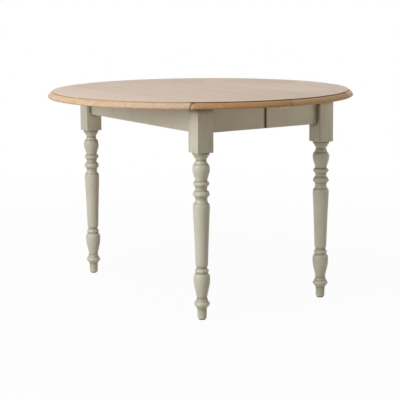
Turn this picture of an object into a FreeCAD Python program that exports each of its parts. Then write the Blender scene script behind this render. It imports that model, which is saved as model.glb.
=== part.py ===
import FreeCAD, Part
import math
import os
import re
import Sketcher

Vector = FreeCAD.Vector
Rotation = FreeCAD.Rotation
UP = Vector(0, 0, 1)

# Driving dimensions in millimetres. X is the way the table extends and Y runs along the seams.
# Each piece is drawn for the left half, at -X, and half a turn about Z gives the right half.
SIZES = {
    # whole table
    "table_height": 760,
    "top_radius": 575,
    "top_thickness": 24,
    # moulded rim: a small upright quirk, a ledge, a bowed slope and a rounded under edge
    "moulding_width": 17,
    "quirk_depth": 3.5,
    "nose_rise": 5,
    # seams: the middle one opens, the outer two are rule joints with the hinge line underneath
    "centre_gap": 0.6,
    "leaf_width": 255,
    "joint_fillet": 4,
    "joint_gap": 0.4,
    # legs
    "leg_width": 62,
    "overhang": 139,
    "leg_head": 155,
    "leg_chamfer": 10,
    "glide_radius": 12,
    "glide_height": 3,
    # aprons
    "apron_height": 89,
    "apron_thickness": 20,
    "apron_setback": 18,
    "apron_split": 3,
    "split_chamfer": 1.5,
    "tenon_length": 18,
    "tenon_thickness": 9,
    "tenon_height": 60,
    "mortise_gap": 0.2,
    # corner blocks and the bolt through each
    "block_thickness": 24,
    "block_height": 70,
    "seat_gap": 0.3,
    "bolt_radius": 4,
    "bolt_bite": 45,
    "bolt_tail": 4,
    "bolt_hole_gap": 0.5,
    "thread_gap": 0.02,
    "nut_flats": 13,
    "nut_height": 8,
    # telescoping wooden runners
    "rail_width": 28,
    "rail_height": 42,
    "rail_end_gap": 3,
    "rail_far_gap": 23,
    "rail_relief": 1.5,
    "relief_start": 15,
    "slide_gap": 0.4,
    "tongue_depth": 7,
    "tongue_root": 12,
    "tongue_tip": 18,
    # lopers that carry a raised leaf
    "loper_width": 28,
    "loper_height": 20,
    "loper_nose": 16,
    "loper_back": 30.6,
    "loper_chamfer": 6,
    "stop_drop": 6,
    "stop_length": 16,
    "guide_length": 36,
    "guide_wall": 10,
    "guide_floor": 8,
    # drop-leaf hinges
    "hinge_width": 40,
    "hinge_spread": 300,
    "hinge_room": 19,
    "short_plate": 28,
    "long_plate": 62,
    "plate_thickness": 1.6,
    "knuckle_radius": 3,
    "knuckle_gap": 0.3,
    "pin_radius": 1.5,
    "pin_gap": 0.05,
    # locating dowels in the middle edge
    "dowel_radius": 5,
    "dowel_reach": 15,
    "dowel_chamfer": 1,
    "dowel_gap": 0.08,
    "dowel_spread": 300,
    # clips that hold the closed halves together
    "clip_inset": 57,
    "clip_reach": 20,
    "clip_width": 20,
    "clip_drop": 10,
    "clip_wall": 2.5,
    "clip_plate": 3.5,
    "clip_split": 3,
    # fixing blocks between aprons and top
    "fixing_size": 20,
    "fixing_length": 60,
    # one overrun for every through cut
    "overrun": 5,
}

# The runners and the lopers lie at these shares of the way from the middle to the legs.
runner_share = 0.56
loper_share = 0.33

# Sizes that follow from the driving ones, as sheet formulas.
DERIVED = {
    "underside": "table_height - top_thickness",
    "seam_reach": "top_radius - leaf_width",
    "leg_reach": "seam_reach - short_plate - hinge_room + apron_setback - leg_width / 2",
    "leg_spread": "top_radius - overhang - leg_width / 2",
    "joint_radius": "top_thickness - joint_fillet",
    "round_width": "top_thickness - quirk_depth - nose_rise",
    "head_bottom": "underside - leg_head",
    "apron_bottom": "underside - apron_height",
    "end_face": "leg_reach + leg_width / 2 - apron_setback",
    "side_face": "leg_spread + leg_width / 2 - apron_setback",
    "end_inner": "end_face - apron_thickness",
    "side_inner": "side_face - apron_thickness",
    "head_end": "leg_spread - leg_width / 2",
    "head_side": "leg_reach - leg_width / 2",
    "tenon_inset": "leg_width / 2 - apron_setback - apron_thickness / 2",
    "tenon_bottom": "apron_bottom + (apron_height - tenon_height) / 2",
    "chamfer_reach": "(leg_width - leg_chamfer) * sqrt(2) / 2",
    "apron_back": "leg_width / 2 - apron_setback - apron_thickness",
    "block_bottom": "apron_bottom + (apron_height - block_height) / 2",
    "bolt_height": "apron_bottom + apron_height / 2",
    "block_reach": "sqrt(2) * (chamfer_reach + seat_gap + block_thickness) + apron_back",
    "rail_back": "end_inner - rail_end_gap",
    "rail_length": "rail_back + end_inner - rail_far_gap",
    "runner_spread": f"leg_spread * {runner_share}",
    "rail_pitch": "rail_width + slide_gap",
    "tongue_line": "underside - rail_height / 2",
    "loper_spread": f"leg_spread * {loper_share}",
    "loper_front": "end_face + loper_nose",
    "loper_top": "underside - slide_gap",
    "loper_bottom": "loper_top - loper_height",
    "knuckle_length": "(hinge_width - 4 * knuckle_gap) / 3",
    "hinge_low": "hinge_spread + hinge_width / 2",
    "knuckle_bore": "knuckle_radius + knuckle_gap",
    "dowel_height": "underside + top_thickness / 2",
    "clip_spread": "top_radius - clip_inset",
    "clip_inner": "clip_width / 2 - clip_wall",
    "fixing_reach": "(leg_reach - block_reach) / 2",
}

# Turned part of a leg, from the foot up: share of its height, share of half the head's width,
# and how far the side to the next row bows out (or in, when negative), as a share of half its length.
leg_profile_shares = (
    (0.000, 0.480, 0),
    (0.064, 0.590, 0.50),
    (0.118, 0.620, 0),
    (0.205, 0.880, 0),
    (0.268, 0.880, 0),
    (0.283, 0.714, 0),
    (0.295, 0.790, 0),
    (0.315, 0.595, 0),
    (0.330, 0.710, 0),
    (0.694, 0.944, 0),
    (0.727, 0.678, 0),
    (0.740, 0.860, 0),
    (0.770, 0.860, 0),
    (0.786, 0.645, 0),
    (0.814, 0.930, 0),
    (0.832, 0.705, 0),
    (0.880, 0.940, 0),
    (0.928, 0.940, 0),
    (0.954, 0.610, 0),
    (0.988, 0.968, 0),
    (1.000, 0.968, 0),
)

# A quarter circle bows out by this share of half its chord.
quarter_share = 2**0.5 - 1

# The moulding's slope bows out by this share of half its chord.
moulding_share = 0.2

# A turned or moulded round is cut as flats that each make about this share of a full turn.
flat_share = 1 / 8

doc = FreeCAD.newDocument("extending_table")
sheet = doc.addObject("Spreadsheet::Sheet", "Sizes")
for row, (name, size) in enumerate(SIZES.items(), start=1):
    sheet.set(f"A{row}", name)
    sheet.set(f"B{row}", str(size))
    sheet.setAlias(f"B{row}", name)
for row, (name, formula) in enumerate(DERIVED.items(), start=len(SIZES) + 1):
    sheet.set(f"A{row}", name)
    sheet.set(f"B{row}", "=" + formula)
    sheet.setAlias(f"B{row}", name)
doc.recompute()

parts = []


def bound(text):
    """The expression with each size named in the sheet."""
    known = SIZES.keys() | DERIVED.keys()
    return re.sub(r"[a-z_]+", lambda w: f"Sizes.{w[0]}" if w[0] in known else w[0], text)


def value(text):
    return float(sheet.evalExpression(bound(text)))


def bind(item, path, text):
    item.setExpression(path, bound(text))


def base_of(body, role):
    """One of the body's own origin planes or axes."""
    return next(f for f in body.Origin.OriginFeatures if f.Role == role)


def new_body(label, turn=0, x="0", y="0"):
    body = doc.addObject("PartDesign::Body", label)
    body.Label = label
    body.Placement = FreeCAD.Placement(Vector(value(x), value(y), 0), Rotation(UP, turn))
    bind(body, "Placement.Base.x", x)
    bind(body, "Placement.Base.y", y)
    parts.append(body)
    return body


def new_sketch(body, role, lift="0"):
    """A sketch on one of the body's origin planes, raised along that plane's normal."""
    sketch = body.newObject("Sketcher::SketchObject", body.Label + "_sketch")
    sketch.AttachmentSupport = [(base_of(body, role), "")]
    sketch.MapMode = "FlatFace"
    bind(sketch, "AttachmentOffset.Base.z", lift)
    return sketch


def diagonal_sketch(body, x, y, row, reach):
    """An upright sketch across the diagonal that runs inwards from a leg's axis, at some reach
    along it. The row is -1 at the front and 1 at the back of the half, or 0 in a leg's own frame."""
    sketch = new_sketch(body, "XZ_Plane")
    inwards = -1 if row > 0 else 1
    facing = Rotation(Vector(0, 1, 0), 90 + 45 * inwards)
    sketch.AttachmentOffset = FreeCAD.Placement(Vector(), facing)
    bind(sketch, "AttachmentOffset.Base.x", f"{x} + ({reach}) * sqrt(2) / 2")
    bind(sketch, "AttachmentOffset.Base.z", f"-({y}) - {inwards} * ({reach}) * sqrt(2) / 2")
    return sketch


def fix(sketch, kind, geometry, point, text):
    """Holds one coordinate of a sketch point at an expression."""
    index = sketch.addConstraint(Sketcher.Constraint(kind, -1, 1, geometry, point, value(text)))
    bind(sketch, f"Constraints[{index}]", text)


def outline(sketch, points):
    """A closed outline, counter-clockwise. Each point is (x, y) or (x, y, bow), where bow curves
    the side to the next point outwards by that share of half its length."""
    points = [(*p, 0) if len(p) == 2 else p for p in points]
    spots = [Vector(value(x), value(y), 0) for x, y, bow in points]
    sides = []
    for i, (x, y, bow) in enumerate(points):
        here, there = spots[i], spots[(i + 1) % len(spots)]
        step = there - here
        if bow:
            crown = (here + there) / 2 + Vector(step.y, -step.x, 0) * (bow / 2)
            side = sketch.addGeometry(Part.Arc(here, crown, there), False)
        else:
            side = sketch.addGeometry(Part.LineSegment(here, there), False)
        forward = sketch.getPoint(side, 1).distanceToPoint(here) < step.Length / 2
        sides.append((side, 1, 2) if forward else (side, 2, 1))
    for i, (x, y, bow) in enumerate(points):
        side, first, last = sides[i]
        following = sides[(i + 1) % len(sides)]
        sketch.addConstraint(Sketcher.Constraint("Coincident", side, last, *following[:2]))
        fix(sketch, "DistanceX", side, first, x)
        fix(sketch, "DistanceY", side, first, y)
        if bow:
            nx, ny, _ = points[(i + 1) % len(points)]
            step = spots[(i + 1) % len(spots)] - spots[i]
            lean = (bow * bow - 1) / (4 * bow)
            if abs(step.y) > abs(step.x):
                centre = f"(({x}) + ({nx})) / 2 + (({ny}) - ({y})) * ({lean:.9f})"
                fix(sketch, "DistanceX", side, 3, centre)
            else:
                centre = f"(({y}) + ({ny})) / 2 - (({nx}) - ({x})) * ({lean:.9f})"
                fix(sketch, "DistanceY", side, 3, centre)


def in_flats(points):
    """The same outline with each round side cut as flats of equal turn."""
    points = [(*p, 0) if len(p) == 2 else p for p in points]
    flat = []
    for i, (x, y, bow) in enumerate(points):
        flat.append((x, y))
        if not bow:
            continue
        nx, ny, _ = points[(i + 1) % len(points)]
        half_turn = 2 * math.atan(bow)
        count = 1 + round(abs(half_turn) / (math.pi * flat_share))
        for k in range(1, count):
            angle = half_turn * (2 * k / count - 1)
            along = 0.5 + math.sin(angle) / (2 * math.sin(half_turn))
            out = (math.cos(angle) - math.cos(half_turn)) / (2 * math.sin(half_turn))
            flat.append(
                (
                    f"({x}) + (({nx}) - ({x})) * {along:.9f} + (({ny}) - ({y})) * ({out:.9f})",
                    f"({y}) + (({ny}) - ({y})) * {along:.9f} - (({nx}) - ({x})) * ({out:.9f})",
                )
            )
    return flat


def rectangle(x1, y1, x2, y2):
    return [(x1, y1), (x2, y1), (x2, y2), (x1, y2)]


def circle(sketch, x, y, radius):
    ring = Part.Circle(Vector(value(x), value(y), 0), UP, value(radius))
    ring = sketch.addGeometry(ring, False)
    fix(sketch, "DistanceX", ring, 3, x)
    fix(sketch, "DistanceY", ring, 3, y)
    index = sketch.addConstraint(Sketcher.Constraint("Radius", ring, value(radius)))
    bind(sketch, f"Constraints[{index}]", radius)


def feature(body, kind, sketch, length=None, forward=False):
    """Pad, Pocket or Revolution of a sketch. Forward turns a cut along the sketch's normal.
    A cut that removes nothing is an error."""
    before = body.Shape.Volume if kind == "Pocket" else 0
    step = body.newObject("PartDesign::" + kind, f"{body.Label}_{kind.lower()}")
    step.Profile = sketch
    if kind == "Revolution":
        step.ReferenceAxis = (sketch, ["V_Axis"])
        step.Angle = 360
    else:
        bind(step, "Length", length)
        step.Reversed = forward
    body.Tip = step
    doc.recompute()
    if kind == "Pocket" and not body.Shape.Volume < before:
        raise ValueError(f"{step.Label} cuts nothing")
    return step


def prism(body, kind, role, points, lift, length, forward=False):
    """Pad or Pocket of one outline."""
    sketch = new_sketch(body, role, lift)
    outline(sketch, points)
    return feature(body, kind, sketch, length, forward)


def rod(body, kind, role, spots, radius, lift, length, forward=False):
    """Pad or Pocket of round sections."""
    sketch = new_sketch(body, role, lift)
    for x, y in spots:
        circle(sketch, x, y, radius)
    return feature(body, kind, sketch, length, forward)


def turn(body, points):
    """Revolution of half a section about the upright axis."""
    sketch = new_sketch(body, "XZ_Plane")
    outline(sketch, in_flats(points))
    return feature(body, "Revolution", sketch)


def row_of(body, axis, length, count, originals=None):
    """Copies some features, or the whole body, at even steps over a length."""
    step = body.newObject("PartDesign::LinearPattern", body.Label + "_row")
    if originals:
        step.Originals = originals
    else:
        step.TransformMode = "Whole shape"
    step.Direction = (base_of(body, axis), [""])
    step.Occurrences = count
    bind(step, "Length", length)
    body.Tip = step


def mirror(body):
    """Copies the whole body from the front of the table to the back."""
    step = body.newObject("PartDesign::Mirrored", body.Label + "_mirror")
    step.TransformMode = "Whole shape"
    step.MirrorPlane = (base_of(body, "XZ_Plane"), [""])
    body.Tip = step


# Half section of the round top with its moulding, from the axis out.
def round_top(body):
    turn(
        body,
        [
            ("0", "underside"),
            ("top_radius - nose_rise", "underside", quarter_share),
            ("top_radius", "underside + nose_rise", moulding_share),
            ("top_radius - round_width", "table_height - quirk_depth"),
            ("top_radius - moulding_width", "table_height - quirk_depth"),
            ("top_radius - moulding_width", "table_height"),
            ("0", "table_height"),
        ],
    )


# A cut drawn in X and Z that runs right across the table.
def cut_across(body, points):
    lift = "-(top_radius + overrun)"
    prism(body, "Pocket", "XZ_Plane", points, lift, "2 * (top_radius + overrun)", forward=True)


# Half of the fixed top: a slice of the round top between the middle seam and the rule joint's
# rounded edge, with gutters for the hinges and holes for the dowels.
def make_top(half, way):
    body = new_body(half + "_top", way)
    round_top(body)
    low = "underside - overrun"
    high = "table_height + overrun"
    cut_across(body, rectangle("-centre_gap / 2", low, "top_radius + overrun", high))
    cut_across(
        body,
        [
            ("-(top_radius + overrun)", low),
            ("-(seam_reach + joint_radius)", low),
            ("-(seam_reach + joint_radius)", "underside", -quarter_share),
            ("-seam_reach", "table_height - joint_fillet"),
            ("-seam_reach", high),
            ("-(top_radius + overrun)", high),
        ],
    )
    plate_seat = prism(
        body,
        "Pocket",
        "XY_Plane",
        rectangle(
            "-seam_reach",
            "-(hinge_low + knuckle_gap)",
            "-seam_reach + short_plate + knuckle_gap",
            "-hinge_spread + hinge_width / 2 + knuckle_gap",
        ),
        low,
        "overrun + plate_thickness",
        forward=True,
    )
    gutter = prism(
        body,
        "Pocket",
        "XZ_Plane",
        [
            ("-(seam_reach + joint_radius + overrun)", low),
            ("-seam_reach + knuckle_radius + slide_gap", low),
            ("-seam_reach + knuckle_radius + slide_gap", "underside", quarter_share),
            ("-seam_reach", "underside + knuckle_radius + slide_gap"),
            ("-(seam_reach + joint_radius + overrun)", "underside + knuckle_radius + slide_gap"),
        ],
        "hinge_low + knuckle_gap",
        "hinge_width + 2 * knuckle_gap",
    )
    row_of(body, "Y_Axis", "2 * hinge_spread", 2, [plate_seat, gutter])
    fit = "thread_gap" if half == "left" else "dowel_gap"
    spots = [("-dowel_spread", "dowel_height"), ("dowel_spread", "dowel_height")]
    rod(body, "Pocket", "YZ_Plane", spots, f"dowel_radius + {fit}", "0", "dowel_reach + slide_gap")


# A drop leaf: the rest of the round top, hollowed along its seam to ride over the rule joint.
def make_flap(half, way):
    body = new_body(half + "_flap", way)
    round_top(body)
    low = "underside - overrun"
    high = "table_height + overrun"
    cut_across(
        body,
        [
            ("-(seam_reach + joint_radius + joint_gap)", low),
            ("top_radius + overrun", low),
            ("top_radius + overrun", high),
            ("-(seam_reach + joint_gap)", high),
            ("-(seam_reach + joint_gap)", "underside + joint_radius + joint_gap", quarter_share),
            ("-(seam_reach + joint_radius + joint_gap)", "underside"),
        ],
    )
    plate_seat = prism(
        body,
        "Pocket",
        "XY_Plane",
        rectangle(
            "-(seam_reach + long_plate + knuckle_gap)",
            "-(hinge_low + knuckle_gap)",
            "-seam_reach",
            "-hinge_spread + hinge_width / 2 + knuckle_gap",
        ),
        low,
        "overrun + plate_thickness",
        forward=True,
    )
    row_of(body, "Y_Axis", "2 * hinge_spread", 2, [plate_seat])


# The short plates of the two hinges, each with the two outer knuckles and the pin riveted in them.
def make_hinge_plates(half, way):
    body = new_body(half + "_hinge_plates", way)
    gap = "knuckle_length / 2 + knuckle_gap"
    prism(
        body,
        "Pad",
        "XY_Plane",
        [
            ("-seam_reach", "-hinge_low"),
            ("-seam_reach + short_plate", "-hinge_low"),
            ("-seam_reach + short_plate", "-hinge_low + hinge_width"),
            ("-seam_reach", "-hinge_low + hinge_width"),
            ("-seam_reach", f"-hinge_spread + {gap}"),
            ("-seam_reach + knuckle_bore", f"-hinge_spread + {gap}"),
            ("-seam_reach + knuckle_bore", f"-hinge_spread - ({gap})"),
            ("-seam_reach", f"-hinge_spread - ({gap})"),
        ],
        "underside",
        "plate_thickness",
    )
    axis = [("-seam_reach", "underside")]
    rod(body, "Pad", "XZ_Plane", axis, "knuckle_radius", "hinge_low - hinge_width", "hinge_width")
    sketch = new_sketch(body, "XZ_Plane", f"hinge_spread + {gap}")
    for radius in ("knuckle_bore", "pin_radius"):
        circle(sketch, *axis[0], radius)
    feature(body, "Pocket", sketch, f"2 * ({gap})")
    row_of(body, "Y_Axis", "2 * hinge_spread", 2)


# The long plates, which reach past the hollow edge of the leaf, each with the middle knuckle.
def make_flap_hinge_plates(half, way):
    body = new_body(half + "_flap_hinge_plates", way)
    prism(
        body,
        "Pad",
        "XY_Plane",
        [
            ("-(seam_reach + long_plate)", "-hinge_low"),
            ("-(seam_reach + knuckle_bore)", "-hinge_low"),
            ("-(seam_reach + knuckle_bore)", "-hinge_spread - knuckle_length / 2"),
            ("-seam_reach", "-hinge_spread - knuckle_length / 2"),
            ("-seam_reach", "-hinge_spread + knuckle_length / 2"),
            ("-(seam_reach + knuckle_bore)", "-hinge_spread + knuckle_length / 2"),
            ("-(seam_reach + knuckle_bore)", "-hinge_low + hinge_width"),
            ("-(seam_reach + long_plate)", "-hinge_low + hinge_width"),
        ],
        "underside",
        "plate_thickness",
    )
    axis = [("-seam_reach", "underside")]
    lift = "hinge_spread - knuckle_length / 2"
    rod(body, "Pad", "XZ_Plane", axis, "knuckle_radius", lift, "knuckle_length")
    bore = "pin_radius + pin_gap"
    rod(body, "Pocket", "XZ_Plane", axis, bore, "hinge_low + overrun", "hinge_width + 2 * overrun")
    row_of(body, "Y_Axis", "2 * hinge_spread", 2)


# The long apron at the end of the table, tenoned into both legs, notched for the lopers.
def make_end_apron(half, way):
    body = new_body(half + "_end_apron", way)
    board = rectangle("-end_face", "-head_end", "-end_inner", "head_end")
    prism(body, "Pad", "XY_Plane", board, "apron_bottom", "apron_height")
    middle = "end_inner + apron_thickness / 2"
    tenons = rectangle(
        f"-({middle} + tenon_thickness / 2)",
        "-(head_end + tenon_length)",
        f"-({middle} - tenon_thickness / 2)",
        "head_end + tenon_length",
    )
    prism(body, "Pad", "XY_Plane", tenons, "tenon_bottom", "tenon_height")
    sketch = new_sketch(body, "XY_Plane", "loper_bottom - slide_gap")
    for middle in ("-loper_spread", "loper_spread"):
        low = f"{middle} - loper_width / 2 - slide_gap"
        high = f"{middle} + loper_width / 2 + slide_gap"
        outline(sketch, rectangle("-(end_face + overrun)", low, "-(end_inner - overrun)", high))
    feature(body, "Pocket", sketch, "loper_height + 2 * slide_gap + overrun", forward=True)


# Half a side apron, tenoned into its leg, with a chamfered end at the middle split.
def make_side_apron(name, way, row, side):
    body = new_body(name + "_side_apron", way, y=f"{side * row} * (side_face - apron_thickness / 2)")
    half = "apron_thickness / 2"
    board = [
        ("-head_side", f"-{half}"),
        ("-(apron_split / 2 + split_chamfer)", f"-{half}"),
        ("-apron_split / 2", f"-({half} - split_chamfer)"),
        ("-apron_split / 2", f"{half} - split_chamfer"),
        ("-(apron_split / 2 + split_chamfer)", half),
        ("-head_side", half),
    ]
    prism(body, "Pad", "XY_Plane", board, "apron_bottom", "apron_height")
    tenon = rectangle(
        "-(head_side + tenon_length)",
        "-tenon_thickness / 2",
        "-(head_side - tenon_length)",
        "tenon_thickness / 2",
    )
    prism(body, "Pad", "XY_Plane", tenon, "tenon_bottom", "tenon_height")


# A leg: a square head with two mortises, a bolt hole and a chamfered inner corner,
# and a turned part below it.
def make_leg(name, way, x, y):
    body = new_body(name + "_leg", way, x, y)
    profile = [
        (
            f"leg_width / 2 * {wide_share}",
            f"glide_height + (head_bottom - glide_height) * {high_share}",
            bow_share,
        )
        for high_share, wide_share, bow_share in leg_profile_shares
    ]
    turn(body, [("0", "glide_height"), *profile, ("0", "head_bottom")])
    half = "leg_width / 2"
    head = rectangle(f"-{half}", f"-{half}", half, half)
    prism(body, "Pad", "XY_Plane", head, "head_bottom", "leg_head")
    corner = [
        (f"{half} + overrun", f"{half} - leg_chamfer - overrun"),
        (f"{half} + overrun", f"{half} + overrun"),
        (f"{half} - leg_chamfer - overrun", f"{half} + overrun"),
    ]
    height = "apron_height + overrun"
    prism(body, "Pocket", "XY_Plane", corner, "apron_bottom", height, forward=True)
    wide = "tenon_thickness / 2 + mortise_gap"
    near = f"-tenon_inset - ({wide})"
    far = f"-tenon_inset + {wide}"
    bottom = f"{half} - tenon_length - mortise_gap"
    mouth = f"{half} + overrun"
    sketch = new_sketch(body, "XY_Plane", "tenon_bottom - mortise_gap")
    outline(sketch, rectangle(near, bottom, far, mouth))
    outline(sketch, rectangle(bottom, near, mouth, far))
    feature(body, "Pocket", sketch, "tenon_height + 2 * mortise_gap", forward=True)
    sketch = diagonal_sketch(body, "0", "0", 0, "chamfer_reach")
    circle(sketch, "0", "bolt_height", "bolt_radius + thread_gap")
    feature(body, "Pocket", sketch, "bolt_bite")


# A corner block, glued between two aprons across the leg's chamfered corner.
def make_corner_block(name, way, x, y):
    body = new_body(name + "_corner_block", way, x, y)
    outer = "sqrt(2) * (chamfer_reach + seat_gap)"
    plan = [
        ("-apron_back", f"{outer} + apron_back"),
        (f"{outer} + apron_back", "-apron_back"),
        ("block_reach", "-apron_back"),
        ("-apron_back", "block_reach"),
    ]
    prism(body, "Pad", "XY_Plane", plan, "block_bottom", "block_height")
    sketch = diagonal_sketch(body, "0", "0", 0, "chamfer_reach")
    circle(sketch, "0", "bolt_height", "bolt_radius + bolt_hole_gap")
    feature(body, "Pocket", sketch, "seat_gap + block_thickness + overrun", forward=True)


# A hanger bolt at each corner, which goes into the leg and out through the corner block.
def make_leg_bolts(half, way):
    body = new_body(half + "_leg_bolts", way)
    length = "bolt_bite + seat_gap + block_thickness + nut_height + bolt_tail"
    for row in (-1, 1):
        sketch = diagonal_sketch(
            body, "-leg_reach", f"{row} * leg_spread", row, "chamfer_reach - bolt_bite"
        )
        circle(sketch, "0", "bolt_height", "bolt_radius")
        feature(body, "Pad", sketch, length)


# The hexagon nuts that bear on the corner blocks.
def make_leg_nuts(half, way):
    body = new_body(half + "_leg_nuts", way)
    across = "nut_flats / 2"
    corner = "nut_flats / sqrt(3)"
    for row in (-1, 1):
        sketch = diagonal_sketch(
            body,
            "-leg_reach",
            f"{row} * leg_spread",
            row,
            "chamfer_reach + seat_gap + block_thickness",
        )
        outline(
            sketch,
            [
                ("0", f"bolt_height - {corner}"),
                (across, f"bolt_height - {corner} / 2"),
                (across, f"bolt_height + {corner} / 2"),
                ("0", f"bolt_height + {corner}"),
                (f"-{across}", f"bolt_height + {corner} / 2"),
                (f"-{across}", f"bolt_height - {corner} / 2"),
            ],
        )
        circle(sketch, "0", "bolt_height", "bolt_radius + thread_gap")
        feature(body, "Pad", sketch, "nut_height")


# A dark glide under each foot.
def make_glides(half, way):
    body = new_body(half + "_foot_glides", way)
    foot = [("-leg_reach", "-leg_spread")]
    rod(body, "Pad", "XY_Plane", foot, "glide_radius", "0", "glide_height")
    mirror(body)


# The dovetail tongue of the middle runner, or its groove in a rail, on the +Y side of a section.
def dovetail(face, gap, depth):
    root = f"tongue_root / 2 + {gap}"
    tip = f"tongue_tip / 2 + {gap}"
    return [
        (face, f"tongue_line - ({root})"),
        (f"{face} + ({depth})", f"tongue_line - ({tip})"),
        (f"{face} + ({depth})", f"tongue_line + {tip}"),
        (face, f"tongue_line + {root}"),
    ]


# A rail screwed under its own half of the top. It reaches under the other half, where its top
# is planed away, and holds the middle runner in a dovetail groove.
def make_rail(name, way, row, side):
    body = new_body(name + "_rail", way, y=f"{side * row} * runner_spread - {side} * rail_pitch")
    wide = "rail_width / 2"
    low = "underside - rail_height"
    section = [(f"-{wide}", low), (wide, low)]
    section += dovetail(wide, "slide_gap", "-tongue_depth")
    section += [(wide, "underside"), (f"-{wide}", "underside")]
    prism(body, "Pad", "YZ_Plane", section, "-rail_back", "rail_length")
    relief = rectangle("-relief_start", f"-{wide} - overrun", "rail_length", f"{wide} + overrun")
    lift = "underside - rail_relief"
    prism(body, "Pocket", "XY_Plane", relief, lift, "rail_relief + overrun", forward=True)


# The middle runner, which slides between the two rails on its dovetail tongues.
def make_runner(name, y):
    body = new_body(name + "_runner", y=y)
    wide = "rail_width / 2"
    low = "underside - rail_height"
    high = "underside - rail_relief"
    right_side = dovetail(wide, "0", "tongue_depth")
    left_side = [(f"-({y})", z) for y, z in reversed(right_side)]
    section = [(f"-{wide}", low), (wide, low), *right_side, (wide, high), (f"-{wide}", high)]
    section += left_side
    prism(body, "Pad", "YZ_Plane", section, "-rail_length / 2", "rail_length")


# A loper: a bar that slides out through the end apron and carries the raised leaf.
def make_loper(name, way, y):
    body = new_body(name + "_loper", way, y=y)
    side = [
        ("-(loper_front - loper_chamfer)", "loper_bottom"),
        ("-loper_back", "loper_bottom"),
        ("-loper_back", "loper_top"),
        ("-loper_front", "loper_top"),
        ("-loper_front", "loper_bottom + loper_chamfer"),
    ]
    prism(body, "Pad", "XZ_Plane", side, "-loper_width / 2", "loper_width")


# The blocks glued under a loper: the front one is its pull and rests against the apron when the
# loper is in, and the back one meets the guide when it is out.
def make_loper_stops(name, way, y):
    body = new_body(name + "_loper_stops", way, y=y)
    sketch = new_sketch(body, "XY_Plane", "loper_bottom - stop_drop")
    wide = "loper_width / 2"
    pull = "end_face + slide_gap"
    outline(sketch, rectangle("-(loper_front - loper_chamfer)", f"-{wide}", f"-({pull})", wide))
    outline(sketch, rectangle("-(loper_back + stop_length)", f"-{wide}", "-loper_back", wide))
    feature(body, "Pad", sketch, "stop_drop")


# The trough-shaped guides that hold the lopers up behind the end apron.
def make_loper_guides(half, way):
    body = new_body(half + "_loper_guides", way)
    inner = "loper_width / 2 + slide_gap"
    outer = f"{inner} + guide_wall"
    floor = "loper_bottom - slide_gap"
    section = [
        (f"-loper_spread - ({outer})", f"{floor} - guide_floor"),
        (f"-loper_spread + {outer}", f"{floor} - guide_floor"),
        (f"-loper_spread + {outer}", "underside"),
        (f"-loper_spread + {inner}", "underside"),
        (f"-loper_spread + {inner}", floor),
        (f"-loper_spread - ({inner})", floor),
        (f"-loper_spread - ({inner})", "underside"),
        (f"-loper_spread - ({outer})", "underside"),
    ]
    prism(body, "Pad", "YZ_Plane", section, "-end_inner", "guide_length")
    mirror(body)


# Blocks glued in the corner between the aprons and the top.
def make_fixing_blocks(half, way):
    body = new_body(half + "_fixing_blocks", way)
    sketch = new_sketch(body, "XY_Plane", "underside - fixing_size")
    long = "fixing_length / 2"
    outline(sketch, rectangle("-end_inner", f"-{long}", "-end_inner + fixing_size", long))
    low = f"-fixing_reach - {long}"
    high = f"-fixing_reach + {long}"
    outline(sketch, rectangle(low, "-side_inner", high, "-side_inner + fixing_size"))
    outline(sketch, rectangle(low, "side_inner - fixing_size", high, "side_inner"))
    feature(body, "Pad", sketch, "fixing_size")


# Dowels fixed in the left half's middle edge that enter the right half's as the table closes.
def make_dowels():
    body = new_body("locating_dowels")
    spots = [("-dowel_spread", "dowel_height"), ("dowel_spread", "dowel_height")]
    rod(body, "Pad", "YZ_Plane", spots, "dowel_radius", "-dowel_reach", "2 * dowel_reach")
    base = body.Tip
    edges = enumerate(base.Shape.Edges, start=1)
    tips = [f"Edge{i}" for i, edge in edges if edge.BoundBox.XMin > 0]
    chamfer = body.newObject("PartDesign::Chamfer", body.Label + "_chamfer")
    chamfer.Base = (base, tips)
    bind(chamfer, "Size", "dowel_chamfer")
    body.Tip = chamfer


# The clips under the rim at the middle seam: a tongue on the left half, front and back.
def make_clip_tongues():
    body = new_body("clip_tongues")
    low = "-clip_spread - clip_width / 2"
    high = "-clip_spread + clip_width / 2"
    block = rectangle("-clip_reach", low, "-clip_split / 2", high)
    prism(body, "Pad", "XY_Plane", block, "underside - clip_drop", "clip_drop")
    inner = "clip_inner - slide_gap"
    tongue = rectangle(
        "-clip_reach", f"-clip_spread - ({inner})", "clip_reach", f"-clip_spread + {inner}"
    )
    lift = "underside - clip_drop + clip_wall + slide_gap"
    prism(body, "Pad", "XY_Plane", tongue, lift, "clip_plate")
    mirror(body)


# The receivers of the clips on the right half, each a closed loop round its tongue.
def make_clip_receivers():
    body = new_body("clip_receivers")
    low = "-clip_spread - clip_width / 2"
    high = "-clip_spread + clip_width / 2"
    block = rectangle("clip_split / 2", low, "clip_reach", high)
    prism(body, "Pad", "XY_Plane", block, "underside - clip_drop", "clip_drop")
    slot_low = "underside - clip_drop + clip_wall"
    slot = rectangle(
        "-clip_spread - clip_inner",
        slot_low,
        "-clip_spread + clip_inner",
        f"{slot_low} + clip_plate + 2 * slide_gap",
    )
    prism(body, "Pocket", "YZ_Plane", slot, "0", "clip_reach + overrun", forward=True)
    mirror(body)


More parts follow.
